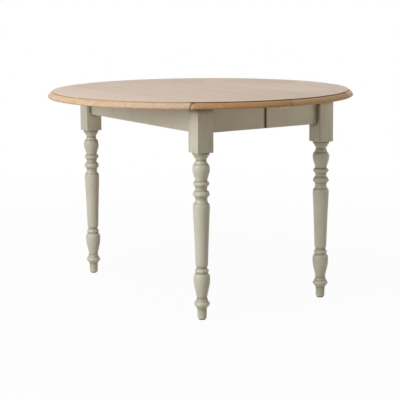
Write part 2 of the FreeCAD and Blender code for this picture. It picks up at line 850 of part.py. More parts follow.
for half, side in (("left", 1), ("right", -1)):
    way = 90 - 90 * side
    make_top(half, way)
    make_flap(half, way)
    make_hinge_plates(half, way)
    make_flap_hinge_plates(half, way)
    make_end_apron(half, way)
    make_glides(half, way)
    make_loper_guides(half, way)
    make_fixing_blocks(half, way)
    make_leg_bolts(half, way)
    make_leg_nuts(half, way)
    for row in (-1, 1):
        name = f"{half}_{'front' if row * side < 0 else 'back'}"
        make_side_apron(name, way, row, side)
        make_rail(name, way, row, side)
        loper_y = f"{side * row} * loper_spread"
        make_loper(name, way, loper_y)
        make_loper_stops(name, way, loper_y)
        corner_turn = way if row < 0 else way - 90
        x = f"{-side} * leg_reach"
        y = f"{side * row} * leg_spread"
        make_leg(name, corner_turn, x, y)
        make_corner_block(name, corner_turn, x, y)
make_runner("front", "-runner_spread")
make_runner("back", "runner_spread")
make_dowels()
make_clip_tongues()
make_clip_receivers()
doc.recompute()

for item in doc.Objects:
    if {"Invalid", "Error"} & set(item.State):
        raise ValueError(f"{item.Label} is {item.State}")
for part in parts:
    if part.Shape.isNull() or not part.Shape.isValid():
        raise ValueError(f"{part.Label} has no valid shape")

os.makedirs("parts", exist_ok=True)
for part in parts:
    part.Shape.exportStep(f"parts/{part.Label}.step")
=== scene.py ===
import bmesh
import bpy
from math import pi, radians
from mathutils import Euler, Matrix, Vector


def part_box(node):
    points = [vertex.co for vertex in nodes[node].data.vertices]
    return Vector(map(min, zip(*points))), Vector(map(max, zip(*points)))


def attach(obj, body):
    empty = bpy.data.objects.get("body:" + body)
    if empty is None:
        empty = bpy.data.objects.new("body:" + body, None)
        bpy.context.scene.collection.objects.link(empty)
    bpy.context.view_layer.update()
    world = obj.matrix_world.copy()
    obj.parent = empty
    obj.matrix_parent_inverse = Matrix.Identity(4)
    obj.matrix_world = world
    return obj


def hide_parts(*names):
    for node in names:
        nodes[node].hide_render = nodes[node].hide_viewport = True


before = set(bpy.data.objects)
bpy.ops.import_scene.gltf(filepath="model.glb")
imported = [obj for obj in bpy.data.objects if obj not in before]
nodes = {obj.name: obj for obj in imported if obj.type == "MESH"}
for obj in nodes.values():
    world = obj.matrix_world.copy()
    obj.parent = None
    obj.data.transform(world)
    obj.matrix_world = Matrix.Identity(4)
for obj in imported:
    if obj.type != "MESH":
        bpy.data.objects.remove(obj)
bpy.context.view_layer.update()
scene = bpy.context.scene
halves = {"left": -1, "right": 1}


# Legs
# Four turned legs of birch with a square head, spray painted and rubbed with a brown glaze
# that stays in the grooves. Each head is mortised for two aprons and its inner corner is
# planed flat for the hanger bolt.

def linear(code):
    """An sRGB hex colour as the linear colour that a shader takes."""
    parts = [int(code[i:i + 2], 16) / 255 for i in (0, 2, 4)]
    return [*(c / 12.92 if c <= 0.04045 else ((c + 0.055) / 1.055) ** 2.4 for c in parts), 1]


def per_metre(sizes):
    """How often a pattern repeats in a metre, from its sizes in millimetres along X, Y and Z."""
    return [1000 / size for size in sizes]


def add(tree, kind, inputs={}, stops=(), **settings):
    """Adds a node. An input, by name or number, is set to a value or a hex colour, or linked from
    a socket. Stops are the places and greys of a colour ramp."""
    item = tree.nodes.new("ShaderNode" + kind)
    for name, choice in settings.items():
        setattr(item, name, choice)
    if stops:
        marks = item.color_ramp.elements
        while len(marks) < len(stops):
            marks.new(0.5)
        for mark, (place, grey) in zip(marks, stops):
            mark.position = place
            mark.color = (grey, grey, grey, 1)
    for name, source in inputs.items():
        if isinstance(source, bpy.types.NodeSocket):
            tree.links.new(source, item.inputs[name])
        elif isinstance(source, str):
            item.inputs[name].default_value = linear(source)
        else:
            item.inputs[name].default_value = source
    return item.outputs


def new_material(name):
    """A material with its node tree, and the Object coordinates."""
    material = bpy.data.materials.new(name)
    material.use_nodes = True
    tree = material.node_tree
    tree.nodes.clear()
    return material, tree, add(tree, "TexCoord")["Object"]


def finish_material(tree, relief, height, inputs):
    """The shader and its output, with the relief's height in millimetres."""
    normal = add(tree, "Bump", {"Height": relief, "Distance": height / 1000, "Strength": 1})[0]
    shader = add(tree, "BsdfPrincipled", {"Normal": normal, **inputs})
    add(tree, "OutputMaterial", {"Surface": shader[0]})


# Water-based satin paint on birch, sprayed and lightly brushed. The eye gets a soft sheen, faint
# strokes along the piece and brown glaze in the grooves; on the heads and aprons, painted shade
# darkens the corners. A stroke is 0.6 mm wide on the real one and is drawn 2 mm wide, or 4 mm on
# the heads, so that it shows. The paint is mottled over 60 mm, and the glaze is worn in spots of 9 mm.
def satin_paint(name, strokes, streak, corner=0, split=0):
    """Strokes are their sizes along X, Y and Z. Within one distance of a corner, ambient occlusion
    paints shade in the glaze colour, with the glaze that gathers there, and glaze also gathers within
    another distance of the split in the side aprons."""
    material, tree, place = new_material(name)
    brushed = add(tree, "Mapping", {"Vector": place, "Scale": per_metre(strokes)})[0]
    stroke = add(tree, "TexNoise", {"Vector": brushed, "Scale": 1, "Detail": 4})[0]
    cloud = add(tree, "TexNoise", {"Vector": place, "Scale": 1000 / 60, "Detail": 3})[0]
    share = add(tree, "ValToRGB", {0: cloud}, [(0.35, 0), (0.65, 1)])[0]
    paint = add(tree, "Mix", {0: share, 6: "D6D1BF", 7: "DBD6C6"}, data_type="RGBA")[2]
    share = add(tree, "ValToRGB", {0: stroke}, [(0.4, 0), (0.7, streak)])[0]
    paint = add(tree, "Mix", {0: share, 6: paint, 7: "C6BFAA"}, data_type="RGBA")[2]
    worn = add(tree, "TexNoise", {"Vector": place, "Scale": 1000 / 9, "Detail": 4})[0]
    worn = add(tree, "ValToRGB", {0: worn}, [(0.3, 0.65), (0.6, 1)])[0]
    glaze_and_shade = add(tree, "Attribute", attribute_name="glaze_and_shade")["Fac"]
    glaze_and_shade = add(tree, "Math", {0: glaze_and_shade, 1: worn}, operation="MULTIPLY")[0]
    if corner:
        # Painted shade: ambient occlusion darkens the corners with the glaze colour.
        openness = add(tree, "AmbientOcclusion", {"Distance": corner}, samples=8)["AO"]
        painted_corner_shade = add(tree, "ValToRGB", {0: openness}, [(0.5, 1), (0.9, 0)])[0]
        glaze_and_shade = add(tree, "Math", {0: glaze_and_shade, 1: painted_corner_shade}, operation="MAXIMUM")[0]
    if split:
        off = add(tree, "SeparateXYZ", {0: place})["X"]
        off = add(tree, "Math", {0: off}, operation="ABSOLUTE")[0]
        fade = {"Value": off, "From Min": 0.003, "From Max": split, "To Min": 1, "To Max": 0}
        near = add(tree, "MapRange", fade)[0]
        glaze_and_shade = add(tree, "Math", {0: glaze_and_shade, 1: near}, operation="MAXIMUM")[0]
    # The glaze and the painted corner shade share this dark brown.
    paint = add(tree, "Mix", {0: glaze_and_shade, 6: paint, 7: "62563D"}, data_type="RGBA")[2]
    sheen = add(tree, "ValToRGB", {0: stroke}, [(0.3, 0.34), (0.7, 0.44)])[0]
    finish_material(tree, stroke, 0.05, {"Base Color": paint, "Roughness": sheen})
    return material


def block(low, high, edge=0):
    """A box between two corners, with its edges rounded."""
    bm = bmesh.new()
    low, high = Vector(low), Vector(high)
    size = Matrix.Diagonal((*(high - low), 1))
    bmesh.ops.create_cube(bm, size=1, matrix=Matrix.Translation((low + high) / 2) @ size)
    if edge:
        bmesh.ops.bevel(
            bm, geom=bm.edges, offset=edge, segments=3, affect="EDGES", profile=0.5, material=-1
        )
    return bm


def carve(bm, *tools):
    """Takes solids out of another."""
    for tool in tools:
        pair = []
        for shape in (bm, tool):
            bmesh.ops.recalc_face_normals(shape, faces=shape.faces)
            mesh = bpy.data.meshes.new("solid")
            shape.to_mesh(mesh)
            pair.append(bpy.data.objects.new("solid", mesh))
            scene.collection.objects.link(pair[-1])
        pair[0].modifiers.new("carve", "BOOLEAN").object = pair[1]
        bpy.context.view_layer.update()
        carved = pair[0].evaluated_get(bpy.context.evaluated_depsgraph_get())
        bm.clear()
        bm.from_mesh(carved.to_mesh())
        carved.to_mesh_clear()
        tool.free()
        for solid in pair:
            bpy.data.meshes.remove(solid.data)


def piece(name, bm, material, body, replaced=()):
    """A finished piece that rides on a body in place of its CAD nodes."""
    bmesh.ops.remove_doubles(bm, verts=bm.verts, dist=1e-6)
    bmesh.ops.recalc_face_normals(bm, faces=bm.faces)
    mesh = bpy.data.meshes.new(name)
    bm.to_mesh(mesh)
    bm.free()
    mesh.materials.append(material)
    mesh.shade_smooth()
    mesh.set_sharp_from_angle(angle=radians(35))
    item = bpy.data.objects.new(name, mesh)
    scene.collection.objects.link(item)
    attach(item, body)
    if replaced:
        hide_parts(*replaced)
    return item


# The turned part from the head down, in millimetres: (height, radius, share of glaze). Just under
# the head the share also paints the shade that the head casts on the throat.
head_throat = [
    (581, 29.5, 0.9), (580, 30, 0.8), (575, 30, 0.2), (573, 29.5, 0.1), (572.5, 27.5, 0.4),
    (568, 25.5, 0.1), (562.5, 22, 0), (558, 19, 0.2), (555.5, 18, 0.6), (553, 19, 0.5), (551, 21, 0),
    (547.5, 22, 0), (544, 22.5, 0.2), (542.5, 23.5, 0.5),
]
upper_vase = [
    (541.5, 26, 0.2), (536.5, 29, 0), (529, 30.5, 0), (521, 30.5, 0), (513, 29, 0), (504.5, 26.5, 0),
    (496.5, 23.5, 0), (489.5, 22, 0), (485, 21.5, 0.4), (483, 21.5, 0.6),
]
upper_bead = [(482, 23.5, 0.4), (480, 27, 0), (475, 29, 0), (470.5, 27.5, 0), (467.5, 24.5, 0.2)]
first_cove = [(466, 22.5, 0.5), (461, 21, 0.2), (456.5, 20, 0.2), (452.5, 20.5, 0.4)]
middle_bead = [
    (450.5, 22.5, 0.5), (448.5, 25.5, 0.1), (443.5, 28.5, 0), (438, 30, 0), (434, 28.5, 0),
    (431, 25.5, 0.2),
]
second_cove = [
    (429, 23.5, 0.5), (424, 21, 0.2), (418.5, 20.5, 0.2), (414, 22, 0.1), (409, 24, 0.2),
    (407, 25, 0.5),
]
taper = [
    (405.5, 28, 0.2), (400, 29.5, 0), (394, 29.5, 0), (380, 29, 0), (305, 25.5, 0), (230, 23, 0),
    (200, 22, 0), (193, 22, 0), (188, 20.5, 0.2), (184, 18.5, 0.5), (182, 18, 0.6), (180.5, 19, 0.5),
]
lower_bead = [
    (177.5, 22, 0.1), (174, 24, 0), (170.5, 24.5, 0), (167.5, 23, 0.2), (165, 22, 0.6),
    (163, 22, 0.5),
]
lower_vase = [
    (161.5, 23.5, 0.3), (159, 26.5, 0), (153.5, 28.5, 0), (142.5, 29, 0), (130, 28.5, 0),
    (120, 27, 0), (108, 24.5, 0), (95.5, 21.5, 0), (84.5, 19, 0), (78, 18, 0.4), (75, 18, 0.6),
    (73, 19.5, 0.4), (70, 20.5, 0.1), (67, 21, 0.3), (65.5, 21.5, 0.5),
]
ankle_bead = [(63.5, 24, 0.1), (59, 26.5, 0), (54.5, 28.5, 0), (50.5, 26, 0), (44.5, 20.5, 0)]
foot = [
    (38.5, 17, 0.5), (33.5, 16.5, 0.2), (22.5, 16.5, 0.1), (12, 16, 0), (6, 16, 0), (3.5, 15, 0),
    (3, 12, 0),
]
turning = [
    *head_throat, *upper_vase, *upper_bead, *first_cove, *middle_bead, *second_cove, *taper,
    *lower_bead, *lower_vase, *ankle_bead, *foot,
]
# The head runs from its foot up to the underside of the top. The block that planes its inner corner
# stands at 45 degrees.
under = 0.736
head_foot = 0.581
head_half = 0.031
head_edge = 0.0014
flat_middle = 0.7
flat_away = 0.0516
flat_half = 0.0362
flat_rise = 0.053
leg_paint = satin_paint("satin_paint_on_birch_legs", (2, 2, 40), 0.18)
# The heads get painted shade in the glaze colour within 30 mm of a corner.
head_paint = satin_paint("satin_paint_on_birch_heads", (4, 4, 160), 0.75, 0.03)
for half, side in halves.items():
    for row, depth in (("front", -1), ("back", 1)):
        node = f"{half}_{row}_leg"
        low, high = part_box(node)
        x, y = (low[0] + high[0]) / 2, (low[1] + high[1]) / 2
        head = block(
            (x - head_half, y - head_half, head_foot), (x + head_half, y + head_half, under), head_edge
        )
        flat = block((-flat_half, -flat_half, -flat_rise), (flat_half, flat_half, flat_rise))
        inward = Matrix.Translation((x - side * flat_away, y - depth * flat_away, flat_middle))
        bmesh.ops.transform(flat, matrix=inward @ Matrix.Rotation(pi / 4, 4, "Z"), verts=flat.verts)
        carve(head, flat)
        glaze_and_shade = head.verts.layers.float.new("glaze_and_shade")
        for vert in head.verts:
            dx, dy = abs(vert.co.x - x), abs(vert.co.y - y)
            vert[glaze_and_shade] = max(dx, dy) < head_half - 0.0001 and dx + dy > 2 * head_half - head_edge
        shaft = bmesh.new()
        glaze_and_shade = shaft.verts.layers.float.new("glaze_and_shade")
        for z, radius, share in turning:
            shaft.verts.new((radius / 1000, 0, z / 1000))[glaze_and_shade] = share
        shaft.verts.ensure_lookup_table()
        for above, below in zip(shaft.verts[:-1], shaft.verts[1:]):
            shaft.edges.new((above, below))
        bmesh.ops.spin(
            shaft, geom=[*shaft.verts, *shaft.edges], axis=(0, 0, 1), cent=(0, 0, 0), dvec=(0, 0, 0),
            angle=2 * pi, steps=32, use_merge=True,
        )
        bmesh.ops.holes_fill(shaft, edges=shaft.edges, sides=0)
        bmesh.ops.translate(shaft, vec=(x, y, 0), verts=shaft.verts)
        bmesh.ops.recalc_face_normals(shaft, faces=shaft.faces)
        turned = piece(f"{node}_turned", shaft, leg_paint, f"{half}_half", [node])
        smooth = turned.modifiers.new("smooth", "SUBSURF")
        smooth.levels = smooth.render_levels = 2
        turned.data.attributes.remove(turned.data.attributes["sharp_edge"])
        piece(f"{node}_head", head, head_paint, f"{half}_half")


# Aprons
# Six birch boards tenoned into the legs: one at each end, notched for the lopers, and two on each
# side that meet at the middle with a small chamfer. Painted as the legs are.

def finished(node, material):
    """A CAD node with its finish."""
    item = nodes[node]
    item.data.materials.clear()
    item.data.materials.append(material)
    return item


def soften(item, width):
    """Rounds a piece's sharp edges, by a width in millimetres."""
    weld = item.modifiers.new("weld", "WELD")
    weld.merge_threshold = 1e-6
    edge = item.modifiers.new("edge", "BEVEL")
    edge.width = width / 1000
    edge.segments = 2
    edge.limit_method = "ANGLE"
    edge.angle_limit = radians(40)
    edge.harden_normals = True


# The aprons get painted shade in the glaze colour within 4 mm of a corner.
end_paint = satin_paint("satin_paint_on_birch_ends", (2, 40, 2), 0.18, 0.004)
side_paint = satin_paint("satin_paint_on_birch_sides", (40, 2, 2), 0.18, 0.004, 0.009)
for half in halves:
    soften(finished(f"{half}_end_apron", end_paint), 0.8)
    for row in ("front", "back"):
        soften(finished(f"{half}_{row}_side_apron", side_paint), 0.8)


# Corner and fixing blocks
# Sawn pine: a block glued across each corner, which the leg's bolt passes through, and short ones
# glued between the aprons and the top.

# Bare pine or beech, sawn and planed. The eye gets pale yellow or pinkish wood with soft darker
# growth lines. A ring is about 3 mm wide in the pine and 2 mm in the beech, and swirls over 22 mm
# across the grain. Fibres are finer than they show, and are drawn 2.4 mm wide.
def bare_wood(name, ring, pale, dark, roughness):
    """Wood with its grain along X. A ring is its width in millimetres."""
    material, tree, place = new_material(name)
    swirl = 22
    warp = add(tree, "Mapping", {"Vector": place, "Scale": per_metre((420, swirl, swirl))})[0]
    warp = add(tree, "TexNoise", {"Vector": warp, "Scale": 1, "Detail": 2})[0]
    wave = add(tree, "Math", {0: warp, 1: 3 * swirl / ring}, operation="MULTIPLY")[0]
    wave = add(tree, "Math", {0: wave}, operation="FRACT")[0]
    wave = add(tree, "ValToRGB", {0: wave}, [(0, 0), (0.75, 0.55), (1, 0.1)])[0]
    fibre = add(tree, "Mapping", {"Vector": place, "Scale": per_metre((60, 2.4, 2.4))})[0]
    fibre = add(tree, "TexNoise", {"Vector": fibre, "Scale": 1, "Detail": 5})[0]
    share = add(tree, "ValToRGB", {0: fibre}, [(0.35, 0.3), (0.65, 0)])[0]
    wood = add(tree, "Mix", {0: wave, 6: pale, 7: dark}, data_type="RGBA")[2]
    wood = add(tree, "Mix", {0: share, 6: wood, 7: dark}, data_type="RGBA")[2]
    finish_material(tree, fibre, 0.08, {"Base Color": wood, "Roughness": roughness})
    return material


pine = bare_wood("bare_pine_blocks", 3, "E4CFA4", "CDAA74", 0.7)
for half in halves:
    soften(finished(f"{half}_fixing_blocks", pine), 0.6)
    for row in ("front", "back"):
        soften(finished(f"{half}_{row}_corner_block", pine), 0.6)


# Leg bolts
# An M8 hanger bolt of zinc-plated steel screwed into each leg, with a hexagon nut drawn up on the
# corner block.

# Zinc-plated steel, bright with a faint blue cast and fine mottling from the bath.
def plain_metal(name, pale, dark, roughness, mottle):
    """Bare metal with a mottling of some sizes along X, Y and Z."""
    material, tree, place = new_material(name)
    cloud = add(tree, "Mapping", {"Vector": place, "Scale": per_metre(mottle)})[0]
    cloud = add(tree, "TexNoise", {"Vector": cloud, "Scale": 1, "Detail": 4})[0]
    share = add(tree, "ValToRGB", {0: cloud}, [(0.35, 0), (0.65, 1)])[0]
    metal = add(tree, "Mix", {0: share, 6: pale, 7: dark}, data_type="RGBA")[2]
    shine = add(tree, "ValToRGB", {0: cloud}, [(0.3, roughness), (0.7, roughness + 0.12)])[0]
    finish_material(tree, cloud, 0.02, {"Base Color": metal, "Metallic": 1, "Roughness": shine})
    return material


zinc = plain_metal("zinc_plated_steel_bolts", "C9CBCC", "AEB2B4", 0.3, (5, 5, 5))
for half in halves:
    soften(finished(f"{half}_leg_nuts", zinc), 0.3)
    finished(f"{half}_leg_bolts", zinc)


# Screws
# Zinc-plated wood screws with cross heads, driven up from below through the rails and the loper
# guides.

def screws(name, spots, body, radius=0.0036, rise=0.002):
    """Cross-head screws seen from below, each with its head against a place."""
    head = bmesh.new()
    dome = [(0, 1), (0.45, 0.95), (0.8, 0.7), (1, 0.25), (1, 0), (0, 0)]
    ring = [head.verts.new((radius * out, 0, -rise * drop)) for out, drop in dome]
    for here, there in zip(ring[:-1], ring[1:]):
        head.edges.new((here, there))
    bmesh.ops.spin(
        head, geom=[*head.verts, *head.edges], axis=(0, 0, 1), cent=(0, 0, 0), dvec=(0, 0, 0),
        angle=2 * pi, steps=20, use_merge=True,
    )
    bmesh.ops.remove_doubles(head, verts=head.verts, dist=1e-6)
    long, wide, low, slot_top = radius * 0.55, radius * 0.12, -rise * 1.2, -rise / 3
    slots = [block((-x, -y, low), (x, y, slot_top)) for x, y in ((long, wide), (wide, long))]
    carve(head, *slots)
    one = bpy.data.meshes.new("one")
    head.to_mesh(one)
    head.free()
    row = bmesh.new()
    for spot in spots:
        row.from_mesh(one)
        row.verts.ensure_lookup_table()
        bmesh.ops.translate(row, vec=spot, verts=row.verts[-len(one.vertices):])
    bpy.data.meshes.remove(one)
    piece(name, row, zinc, body)


rail_places = (0.025, 0.13, 0.235)
guide_edge = 0.005
inner_guide = 0.11425
for half, side in halves.items():
    spots = []
    for row in ("front", "back"):
        low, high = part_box(f"{half}_{row}_rail")
        across = (low[1] + high[1]) / 2
        spots += [(side * x, across, low[2]) for x in rail_places]
    low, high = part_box(f"{half}_loper_guides")
    for y in (low[1] + guide_edge, high[1] - guide_edge, -inner_guide, inner_guide):
        spots += [((low[0] + high[0]) / 2, y, low[2])]
    screws(f"{half}_rail_and_guide_screws", spots, f"{half}_half")


# Glides
# Round dark nylon glides under the feet, moulded in one piece and nailed on, so that the table can
# be shifted without marking the floor.

# Injection-moulded plastic: matt, with a very fine grain of 0.7 mm.
def moulded_plastic(name, colour, shade, roughness):
    """Plastic of a colour that is grained with a shade."""
    material, tree, place = new_material(name)
    grain = add(tree, "TexNoise", {"Vector": place, "Scale": 1000 / 0.7, "Detail": 2})[0]
    share = add(tree, "ValToRGB", {0: grain}, [(0.4, 0), (0.6, 0.4)])[0]
    plastic = add(tree, "Mix", {0: share, 6: colour, 7: shade}, data_type="RGBA")[2]
    finish_material(tree, grain, 0.02, {"Base Color": plastic, "Roughness": roughness})
    return material


glide_nylon = moulded_plastic("moulded_nylon_glides", "3A3A3A", "2E2E2E", 0.5)
for half in halves:
    soften(finished(f"{half}_foot_glides", glide_nylon), 0.5)


# Rails and runners
# Beech rails screwed under the two halves, joined by a middle runner with dovetail tongues, so
# that the halves slide apart and stay level.
beech = bare_wood("planed_beech_runners", 2, "DDBE96", "C9A175", 0.5)
for node in [n for n in nodes if n.endswith(("_rail", "_runner"))]:
    soften(finished(node, beech), 0.5)


# Lopers
# Beech bars that slide out through the end aprons under the raised leaves, with a pull and a stop
# glued under each, and the troughs that hold them up.
for node in [n for n in nodes if n.endswith(("_loper", "_loper_stops", "_loper_guides"))]:
    soften(finished(node, beech), 0.5)


# Top
# Two fixed halves of edge-glued oak boards with the grain across the way the table opens. The rim
# is moulded with a quirk and a round, and each outer edge is rounded for the rule joint.
top_radius = 0.575
top_face = 0.76
seam = 0.32
rule_round = 0.02
fillet = 0.005
moulding = 0.0155
bulge = 0.0016
quirk_width = 0.0015
field = top_radius - moulding - quirk_width
board_width = 0.095

# Oak, sanded, stained and sealed with a matt lacquer. The limed top is a pale greyish beige with
# fine darker streaks along the boards, and the moulding a warm honey. Underneath it is bare.
# Growth bands are about 7 mm wide. Pores are 0.3 mm wide and drawn 0.9 mm.
oak, tree, place = new_material("lacquered_oak_top")
spot = add(tree, "SeparateXYZ", {0: place})
board = add(tree, "Math", {0: spot["X"], 1: 1 / board_width}, operation="MULTIPLY")[0]
board = add(tree, "Math", {0: board}, operation="FLOOR")[0]
tone = add(tree, "TexWhiteNoise", {"W": board}, noise_dimensions="1D")
shift = add(tree, "VectorMath", {0: tone["Color"], 1: (0.4, 0.9, 0)}, operation="MULTIPLY")[0]
local = add(tree, "VectorMath", {0: place, 1: shift}, operation="ADD")[0]

bands = add(tree, "Mapping", {"Vector": local, "Scale": per_metre((60, 900, 60))})[0]
bands = add(tree, "TexNoise", {"Vector": bands, "Scale": 1, "Detail": 2, "Distortion": 0.4})[0]
bands = add(tree, "Math", {0: bands, 1: 9}, operation="MULTIPLY")[0]
bands = add(tree, "Math", {0: bands}, operation="FRACT")[0]
bands = add(tree, "ValToRGB", {0: bands}, [(0, 0), (0.8, 0.7), (1, 0)])[0]
fibre = add(tree, "Mapping", {"Vector": local, "Scale": per_metre((3, 160, 3))})[0]
fibre = add(tree, "TexNoise", {"Vector": fibre, "Scale": 1, "Detail": 5})[0]
pores = add(tree, "Mapping", {"Vector": local, "Scale": per_metre((0.9, 14, 0.9))})[0]
pores = add(tree, "TexNoise", {"Vector": pores, "Scale": 1, "Detail": 3})[0]
pores = add(tree, "ValToRGB", {0: pores}, [(0.58, 0), (0.68, 1)])[0]

# The limed field, a little lighter or darker from board to board.
streaks = add(tree, "ValToRGB", {0: fibre}, [(0.35, 0.6), (0.62, 0)])[0]
by_board = add(tree, "Math", {0: tone["Value"], 1: 0.35}, operation="MULTIPLY")[0]
faint_pores = add(tree, "Math", {0: pores, 1: 0.25}, operation="MULTIPLY")[0]
limed = add(tree, "Mix", {0: bands, 6: "E3D0C1", 7: "D6C0AE"}, data_type="RGBA")[2]
for share, colour in ((streaks, "CDB6A0"), (by_board, "E9D7C8"), (faint_pores, "B89D85")):
    limed = add(tree, "Mix", {0: share, 6: limed, 7: colour}, data_type="RGBA")[2]

# The honey moulding, paler on the leaves and somewhat paler on the right half.
off = add(tree, "Math", {0: spot["X"]}, operation="ABSOLUTE")[0]
leaf = add(tree, "Math", {0: off, 1: seam + 0.01}, operation="GREATER_THAN")[0]
right = add(tree, "Math", {0: spot["X"], 1: 0}, operation="GREATER_THAN")[0]
right = add(tree, "Math", {0: right, 1: 0.4}, operation="MULTIPLY")[0]
paler = add(tree, "Math", {0: leaf, 1: right}, operation="MAXIMUM")[0]
streaks = add(tree, "ValToRGB", {0: fibre}, [(0.35, 0.8), (0.62, 0)])[0]
honeys = []
for pale, dark, streak in (("CBA375", "BB8D5D", "A87849"), ("E7CEB1", "D7B694", "C4A07B")):
    tint = add(tree, "Mix", {0: bands, 6: pale, 7: dark}, data_type="RGBA")[2]
    honeys.append(add(tree, "Mix", {0: streaks, 6: tint, 7: streak}, data_type="RGBA")[2])
honey = add(tree, "Mix", {0: paler, 6: honeys[0], 7: honeys[1]}, data_type="RGBA")[2]
honey_pores = add(tree, "Math", {0: pores, 1: 0.4}, operation="MULTIPLY")[0]
honey = add(tree, "Mix", {0: honey_pores, 6: honey, 7: "936A42"}, data_type="RGBA")[2]

# The field grows lighter towards its edge: a painted highlight along its outer ring.
flat = add(tree, "CombineXYZ", {"X": spot["X"], "Y": spot["Y"]})[0]
reach = add(tree, "VectorMath", {0: flat}, operation="LENGTH")["Value"]
edge = {"Value": reach, "From Min": field - 0.023, "From Max": field - 0.001, "To Max": 0.6}
edge = add(tree, "MapRange", edge)[0]
edge_highlight_tone = add(tree, "Mix", {0: leaf, 6: "ECDED2", 7: "E2C9AC"}, data_type="RGBA")[2]
limed = add(tree, "Mix", {0: edge, 6: limed, 7: edge_highlight_tone}, data_type="RGBA")[2]

# Shade is painted into the moulding's quirk, less of it on the leaves, and the moulding is stained
# darker beside the joints that cross it.
quirk_shade = add(tree, "Math", {0: reach, 1: field + 0.0007, 2: 0.0013}, operation="COMPARE")[0]
faint = add(tree, "MapRange", {"Value": leaf, "To Min": 1, "To Max": 0.4})[0]
quirk_shade = add(tree, "Math", {0: quirk_shade, 1: faint}, operation="MULTIPLY")[0]
out = add(tree, "Math", {0: off, 1: seam}, operation="SUBTRACT")[0]
up = add(tree, "Math", {0: spot["Z"], 1: under}, operation="SUBTRACT")[0]
arc = add(tree, "CombineXYZ", {"X": out, "Y": up})[0]
arc = add(tree, "VectorMath", {0: arc}, operation="LENGTH")["Value"]
arc = add(tree, "Math", {0: arc, 1: rule_round}, operation="SUBTRACT")[0]
arc = add(tree, "Math", {0: arc}, operation="ABSOLUTE")[0]
inside = add(tree, "Math", {0: out, 1: -0.001}, operation="LESS_THAN")[0]
arc = add(tree, "Math", {0: arc, 1: inside}, operation="ADD")[0]
gap = add(tree, "Math", {0: arc, 1: off}, operation="MINIMUM")[0]
fade = {"Value": gap, "From Min": 0.0008, "From Max": 0.0024, "To Min": 1, "To Max": 0}
gap = add(tree, "MapRange", fade)[0]
joint_stain_and_quirk_shade = add(tree, "Math", {0: gap, 1: quirk_shade}, operation="MAXIMUM")[0]
# Painted shade in the quirk and the real stain at the joints, both in dark brown.
rim_wood = add(tree, "Mix", {0: joint_stain_and_quirk_shade, 6: honey, 7: "7A5433"}, data_type="RGBA")[2]

# Fine dark lines where the boards of the field meet at the three joints.
line = add(tree, "Math", {0: out}, operation="ABSOLUTE")[0]
line = add(tree, "Math", {0: line, 1: off}, operation="MINIMUM")[0]
fade = {"Value": line, "From Min": 0.0005, "From Max": 0.0014, "To Min": 0.8, "To Max": 0}
line = add(tree, "MapRange", fade)[0]
limed = add(tree, "Mix", {0: line, 6: limed, 7: "7A5A40"}, data_type="RGBA")[2]

rim = add(tree, "Math", {0: reach, 1: field - 0.0002}, operation="GREATER_THAN")[0]
wood = add(tree, "Mix", {0: rim, 6: limed, 7: rim_wood}, data_type="RGBA")[2]
below = add(tree, "Math", {0: spot["Z"], 1: under + 0.0003}, operation="LESS_THAN")[0]
wood = add(tree, "Mix", {0: below, 6: wood, 7: honey}, data_type="RGBA")[2]
grain = add(tree, "Math", {0: fibre, 1: pores}, operation="SUBTRACT")[0]
finish_material(tree, grain, 0.06, {"Base Color": wood, "Roughness": 0.6, "Specular IOR Level": 0.3})


def prism(points, rounds, low, high):
    """A solid with an XZ outline between two places on Y. Rounds gives corners their radius."""
    bm = bmesh.new()
    ring = [bm.verts.new((x, low, z)) for x, z in points]
    bm.faces.new(ring)
    for i, radius in rounds.items():
        bmesh.ops.bevel(
            bm, geom=[ring[i]], offset=radius, segments=12, affect="VERTICES", profile=0.5, material=-1
        )
    walls = bmesh.ops.extrude_face_region(bm, geom=bm.faces[:])
    new = [v for v in walls["geom"] if isinstance(v, bmesh.types.BMVert)]
    bmesh.ops.translate(bm, vec=(0, high - low, 0), verts=new)
    return bm


def moulded_disc():
    """The round top with its rim, spun from half a section."""
    bm = bmesh.new()
    section = [(0, under), (top_radius, under)]
    steps = 8
    for step in range(steps + 1):
        rise = step / steps
        bow = 4 * bulge * rise * (1 - rise)
        section.append((top_radius - moulding * rise + bow, under + fillet + moulding * rise + bow))
    section += [(field, under + fillet + moulding), (field, top_face), (0, top_face)]
    spots = [bm.verts.new((r, 0, z)) for r, z in section]
    for here, there in zip(spots[:-1], spots[1:]):
        bm.edges.new((here, there))
    for corner, radius, count in ((spots[1], fillet - 0.0001, 5), (spots[-2], 0.0006, 2)):
        bmesh.ops.bevel(
            bm, geom=[corner], offset=radius, segments=count, affect="VERTICES", profile=0.5,
            material=-1,
        )
    bmesh.ops.spin(
        bm, geom=[*bm.verts, *bm.edges], axis=(0, 0, 1), cent=(0, 0, 0), dvec=(0, 0, 0),
        angle=2 * pi, steps=240, use_merge=True,
    )
    bmesh.ops.remove_doubles(bm, verts=bm.verts, dist=1e-6)
    return bm


def half_turned(bm, side):
    """The same solid on the left half, or half a turn round on the right."""
    if side > 0:
        bmesh.ops.rotate(bm, cent=(0, 0, 0), matrix=Matrix.Rotation(pi, 3, "Z"), verts=bm.verts)
    return bm


